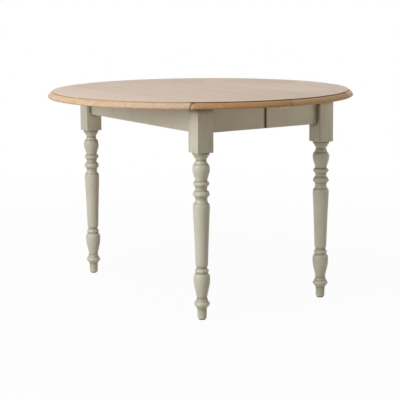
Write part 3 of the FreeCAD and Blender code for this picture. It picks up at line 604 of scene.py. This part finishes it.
# Two hinges stand on each rule joint, and two dowels on the middle one, at the same places.
hinge_places = (-0.3, 0.3)
plate_half = 0.0203
plate_room = 0.0016
knuckle_room = 0.0034
knuckle_out = 0.025
short_plate = 0.0283
long_plate = 0.0623
dowel_hole = 0.0051
dowel_height = 0.748
dowel_depth = 0.0308
half_gap = 0.0003
beyond = 0.6
floor_of_cut = 0.7
roof_of_cut = 0.77
floor_of_seat = 0.73
for half, side in halves.items():
    shoulder = under + rule_round
    rule = [
        (-beyond, floor_of_cut), (-seam - rule_round, floor_of_cut), (-seam - rule_round, shoulder),
        (-seam, shoulder), (-seam, roof_of_cut), (-beyond, roof_of_cut),
    ]
    gutter = [
        (-seam - knuckle_out, floor_of_seat), (-seam + knuckle_room, floor_of_seat),
        (-seam + knuckle_room, under + knuckle_room), (-seam - knuckle_out, under + knuckle_room),
    ]
    tools = [
        block((-half_gap, -beyond, floor_of_cut), (beyond, beyond, 0.8)),
        prism(rule, {2: rule_round}, -beyond, beyond),
    ]
    for y in hinge_places:
        front, back = y - plate_half, y + plate_half
        tools.append(prism(gutter, {2: knuckle_room - 0.0001}, front, back))
        tools.append(
            block((-seam, front, floor_of_seat), (-seam + short_plate, back, under + plate_room))
        )
        hole = bmesh.new()
        across = Matrix.Translation((0, y, dowel_height)) @ Matrix.Rotation(pi / 2, 4, "Y")
        bmesh.ops.create_cone(
            hole, cap_ends=True, segments=32, radius1=dowel_hole, radius2=dowel_hole,
            depth=dowel_depth, matrix=across,
        )
        tools.append(hole)
    top = moulded_disc()
    carve(top, *tools)
    boards = piece(f"{half}_top_boards", half_turned(top, side), oak, f"{half}_half", [f"{half}_top"])
    soften(boards, 1)


# Leaves
# A drop leaf of the same oak hinges along each outer edge of the top. Its inner edge is hollowed to
# ride over the rule joint, and the rest of its rim carries on the moulding.
play = 0.0004
for half, side in halves.items():
    inner, hollow, shoulder = -seam - play, -seam - rule_round - play, under + rule_round + play
    cove = [
        (hollow, floor_of_cut), (beyond, floor_of_cut), (beyond, roof_of_cut), (inner, roof_of_cut),
        (inner, shoulder), (hollow, shoulder),
    ]
    tools = [prism(cove, {5: rule_round - 0.0001}, -beyond, beyond)]
    for y in hinge_places:
        low = (-seam - long_plate, y - plate_half, floor_of_seat)
        tools.append(block(low, (-seam, y + plate_half, under + plate_room)))
    leaf = moulded_disc()
    carve(leaf, *tools)
    boards = piece(f"{half}_leaf_boards", half_turned(leaf, side), oak, f"{half}_flap", [f"{half}_flap"])
    soften(boards, 1)


# Hinges
# Steel leaf hinges screwed into seats under the top: a short plate on the fixed half, a long one
# under the leaf past the hollow, and a riveted pin in line with the rule joint.

# Rolled steel, grey with a faint grain along the rolling.
steel = plain_metal("rolled_steel_hinges", "B8B6B2", "9C9A96", 0.35, (3, 30, 3))
for half in halves:
    finished(f"{half}_hinge_plates", steel)
    finished(f"{half}_flap_hinge_plates", steel)
short_plate_screws = (0.302,)
long_plate_screws = (0.35, 0.372)
screw_off = 0.012
for half, side in halves.items():
    for body, places in ((f"{half}_half", short_plate_screws), (f"{half}_flap", long_plate_screws)):
        pairs = [(x, y) for x in places for y in hinge_places]
        spots = [(side * x, y + off, under) for x, y in pairs for off in (-screw_off, screw_off)]
        screws(f"{body}_hinge_screws", spots, body, 0.0034, 0.0008)


# Dowels
# Turned beech dowels glued in the left half's middle edge. They enter holes in the right half as it
# closes, and keep the two tops level.
beech_dowel = bare_wood("turned_beech_dowels", 2, "DDBE96", "C9A175", 0.55)
finished("locating_dowels", beech_dowel)


# Clips
# Moulded nylon clips under the middle seam, a tongue on the left half and a receiver on the right,
# which hold the closed halves together.
clip_nylon = moulded_plastic("moulded_nylon_clips", "F6F1E7", "EDE6D9", 0.45)
for node in ("clip_tongues", "clip_receivers"):
    soften(finished(node, clip_nylon), 0.5)


# Studio
# A pale floor with the object's faint shadow, and a white room. Soft light comes from the left and
# above, with a weak low fill on the right and another behind.
floor_mesh = bmesh.new()
bmesh.ops.create_grid(floor_mesh, x_segments=1, y_segments=1, size=30)
mesh = bpy.data.meshes.new("floor")
floor_mesh.to_mesh(mesh)
floor_mesh.free()
floor = bpy.data.objects.new("floor", mesh)
scene.collection.objects.link(floor)


def seen_directly(tree):
    """The share of a ray that comes from the camera, a reflection or a clear piece."""
    ray = add(tree, "LightPath")
    seen = {0: ray["Is Camera Ray"], 1: ray["Is Glossy Ray"]}
    seen = add(tree, "Math", seen, operation="MAXIMUM")[0]
    return add(tree, "Math", {0: seen, 1: ray["Is Transmission Ray"]}, operation="MAXIMUM")[0]


# Matt vinyl floor, smooth, with a faint mottle 300 mm wide. The camera and the reflections see it
# nearly white.
vinyl, tree, place = new_material("matt_vinyl_floor")
cloud = add(tree, "TexNoise", {"Vector": place, "Scale": 1000 / 300, "Detail": 2})[0]
pale = add(tree, "Mix", {0: cloud, 6: "D0CABD", 7: "D7D1C5"}, data_type="RGBA")[2]
matt = add(tree, "BsdfDiffuse", {"Color": pale})[0]
glow = add(tree, "Emission", {"Color": "FFFFFF", "Strength": 1})[0]
reach = add(tree, "VectorMath", {0: place}, operation="LENGTH")["Value"]
fade = {"Value": reach, "From Min": 0.8, "From Max": 3, "To Min": 0.96, "To Max": 1}
reach = add(tree, "MapRange", fade)[0]
seen = add(tree, "Math", {0: seen_directly(tree), 1: reach}, operation="MULTIPLY")[0]
both = add(tree, "MixShader", {0: seen, 1: matt, 2: glow})[0]
add(tree, "OutputMaterial", {"Surface": both})
floor.data.materials.append(vinyl)

world = bpy.data.worlds.new("white_room")
scene.world = world
world.use_nodes = True
tree = world.node_tree
tree.nodes.clear()
soft = add(tree, "Background", {"Color": (1, 0.9, 0.68, 1), "Strength": 0.05})[0]
white = add(tree, "Background", {"Color": "FFFFFF", "Strength": 1})[0]
both = add(tree, "MixShader", {0: seen_directly(tree), 1: soft, 2: white})[0]
add(tree, "OutputWorld", {"Surface": both})

for name, place, aim, size, power, colour in (
    ("left_softbox", (-5.4, -0.45, 2.2), (0, 0, 0.45), 2.1, 140, (0.97, 0.99, 1)),
    ("high_softbox", (-3.3, -1.2, 4.0), (0, 0, 0.5), 2.4, 70, (0.97, 0.99, 1)),
    ("overhead_softbox", (-0.3, 0.2, 3.4), (0, 0, 0.7), 3, 36, (1, 1, 1)),
    ("right_fill", (1.25, -1.25, 0.7), (0.35, -0.4, 0.62), 0.8, 3.4, (1, 0.96, 0.86)),
    ("back_fill", (3.2, 2.6, 0.45), (0, 0, 0.5), 1.2, 45, (1, 0.98, 0.94)),
):
    lamp = bpy.data.lights.new(name, "AREA")
    lamp.shape = "SQUARE"
    lamp.size = size
    lamp.energy = power
    lamp.color = colour
    item = bpy.data.objects.new(name, lamp)
    item.location = place
    item.rotation_euler = (Vector(place) - Vector(aim)).to_track_quat("Z", "Y").to_euler()
    scene.collection.objects.link(item)

# The camera looks down by 7.2 degrees from the left front, and leans by 0.4.
camera = bpy.data.cameras.new("camera")
camera.sensor_width = 36
camera.lens = 100.51
camera.shift_y = -0.15
eye = bpy.data.objects.new("camera", camera)
eye.location = (-2.2895, -3.55897, 1.09881)
look = Euler((radians(90 - 7.219), 0, radians(-32.713))).to_matrix()
eye.rotation_euler = (look @ Matrix.Rotation(radians(-0.404), 3, "Z")).to_euler()
scene.collection.objects.link(eye)
scene.camera = eye
scene.view_settings.view_transform = "Standard"
